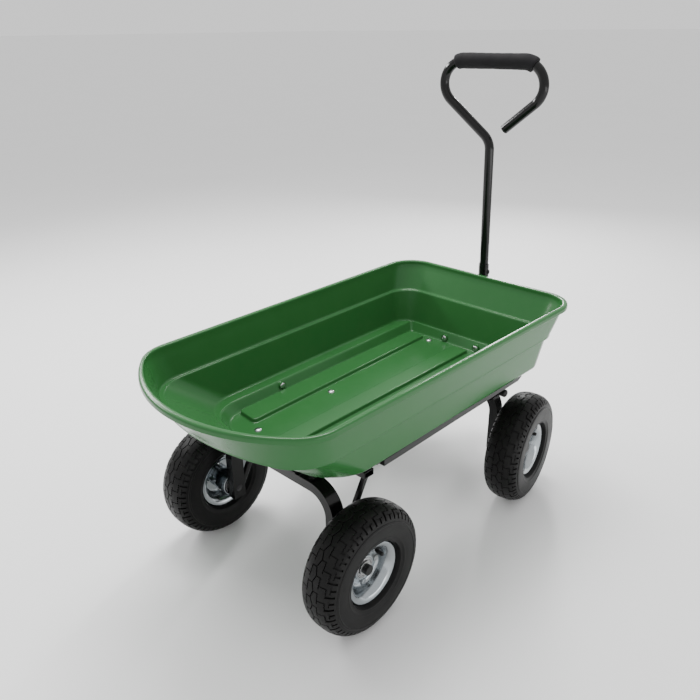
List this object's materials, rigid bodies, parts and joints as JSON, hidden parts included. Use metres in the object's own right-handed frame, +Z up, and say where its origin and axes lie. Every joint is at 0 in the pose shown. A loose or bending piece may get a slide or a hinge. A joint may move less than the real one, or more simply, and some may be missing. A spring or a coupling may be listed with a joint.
{
  "type": "garden cart",
  "caption": "Four-wheeled garden dump cart with a tipping moulded tray, steered front arch, pneumatic tyres and a fold-down handle with a D-shaped grip.",
  "frame": {"origin": "on the ground, at the middle of the bottom of the bounding box", "axes": "+X forward towards the handle, +Y left, +Z up"},
  "size_m": [1.001, 0.5451, 0.985],
  "materials": {
    "green_plastic": "glossy moulded plastic",
    "black_paint": "gloss black powder coat",
    "black_axle": "blackened steel",
    "zinc_hardware": "bright zinc plate",
    "zinc_rim": "bright zinc plate",
    "bearing_steel": "ground steel",
    "tyre_rubber": "matte black rubber",
    "tube_rubber": "soft black rubber",
    "grip_foam": "closed-cell foam",
    "black_plastic": "moulded black plastic"
  },
  "bodies": {
    "chassis": {"rear_arch": "black_paint", "rear_braces": "black_paint", "rear_crossmember": "black_paint", "backbone": "black_paint", "bolster_plate": "black_paint", "hinge_brackets": "black_paint", "hinge_pins": "zinc_hardware", "rear_axle": "black_axle", "rear_axle_washers": "zinc_hardware", "rear_axle_caps": "black_plastic", "kingpin": "zinc_hardware", "latch_keeper": "zinc_hardware"},
    "tray_body": {"tray": "green_plastic", "tray_frame": "black_paint", "floor_bolts": "zinc_hardware", "wall_bolts": "zinc_hardware", "front_bracket": "black_paint"},
    "steering": {"front_arch": "black_paint", "thrust_washer": "zinc_hardware", "front_axle": "black_axle", "front_axle_washers": "zinc_hardware", "front_axle_caps": "black_plastic", "drawbar": "black_paint", "yoke_bolt": "zinc_hardware"},
    "handle": {"handle_socket": "black_paint", "handle_loop": "black_paint", "handle_grip": "grip_foam", "handle_screw": "black_axle"},
    "latch": {"release_lever": "black_paint", "release_knob": "black_plastic", "latch_spring": "zinc_hardware"},
    "rear_left_wheel": {"rear_left_tyre": "tyre_rubber", "rear_left_inner_tube": "tube_rubber", "rear_left_outer_rim": "zinc_rim", "rear_left_inner_rim": "zinc_rim", "rear_left_hub": "zinc_rim", "rear_left_bearings": "bearing_steel", "rear_left_rim_bolts": "zinc_hardware"},
    "rear_right_wheel": {"rear_right_tyre": "tyre_rubber", "rear_right_inner_tube": "tube_rubber", "rear_right_outer_rim": "zinc_rim", "rear_right_inner_rim": "zinc_rim", "rear_right_hub": "zinc_rim", "rear_right_bearings": "bearing_steel", "rear_right_rim_bolts": "zinc_hardware"},
    "front_left_wheel": {"front_left_tyre": "tyre_rubber", "front_left_inner_tube": "tube_rubber", "front_left_outer_rim": "zinc_rim", "front_left_inner_rim": "zinc_rim", "front_left_hub": "zinc_rim", "front_left_bearings": "bearing_steel", "front_left_rim_bolts": "zinc_hardware"},
    "front_right_wheel": {"front_right_tyre": "tyre_rubber", "front_right_inner_tube": "tube_rubber", "front_right_outer_rim": "zinc_rim", "front_right_inner_rim": "zinc_rim", "front_right_hub": "zinc_rim", "front_right_bearings": "bearing_steel", "front_right_rim_bolts": "zinc_hardware"}
  },
  "joints": [
    {"name": "tray_tip", "type": "hinge", "parent": "chassis", "child": "tray_body", "pos_m": [-0.26952, 0, 0.28], "axis": [0, -1, 0], "range_deg": [0, 50]},
    {"name": "steer", "type": "hinge", "parent": "chassis", "child": "steering", "pos_m": [0.25748, 0, 0.26], "axis": [0, 0, 1], "range_deg": [-33.6, 16.4]},
    {"name": "handle_fold", "type": "hinge", "parent": "steering", "child": "handle", "pos_m": [0.48391, 0.03424, 0.23], "axis": [-0.1495, 0.9888, 0], "range_deg": [0, 108]},
    {"name": "latch_release", "type": "hinge", "parent": "tray_body", "child": "latch", "pos_m": [0.19648, 0, 0.2825], "axis": [0, 1, 0], "range_deg": [0, 35], "stiffness_Nm_per_rad": 0.3, "springref_deg": -28.65},
    {"name": "rear_left_spin", "type": "hinge", "parent": "chassis", "child": "rear_left_wheel", "pos_m": [-0.26952, 0.2185, 0.13], "axis": [0, 1, 0], "continuous": true},
    {"name": "rear_right_spin", "type": "hinge", "parent": "chassis", "child": "rear_right_wheel", "pos_m": [-0.26952, -0.2185, 0.13], "axis": [0, 1, 0], "continuous": true},
    {"name": "front_left_spin", "type": "hinge", "parent": "steering", "child": "front_left_wheel", "pos_m": [0.22481, 0.21604, 0.13], "axis": [-0.1495, 0.9888, 0], "continuous": true},
    {"name": "front_right_spin", "type": "hinge", "parent": "steering", "child": "front_right_wheel", "pos_m": [0.29016, -0.21604, 0.13], "axis": [-0.1495, 0.9888, 0], "continuous": true}
  ]
}
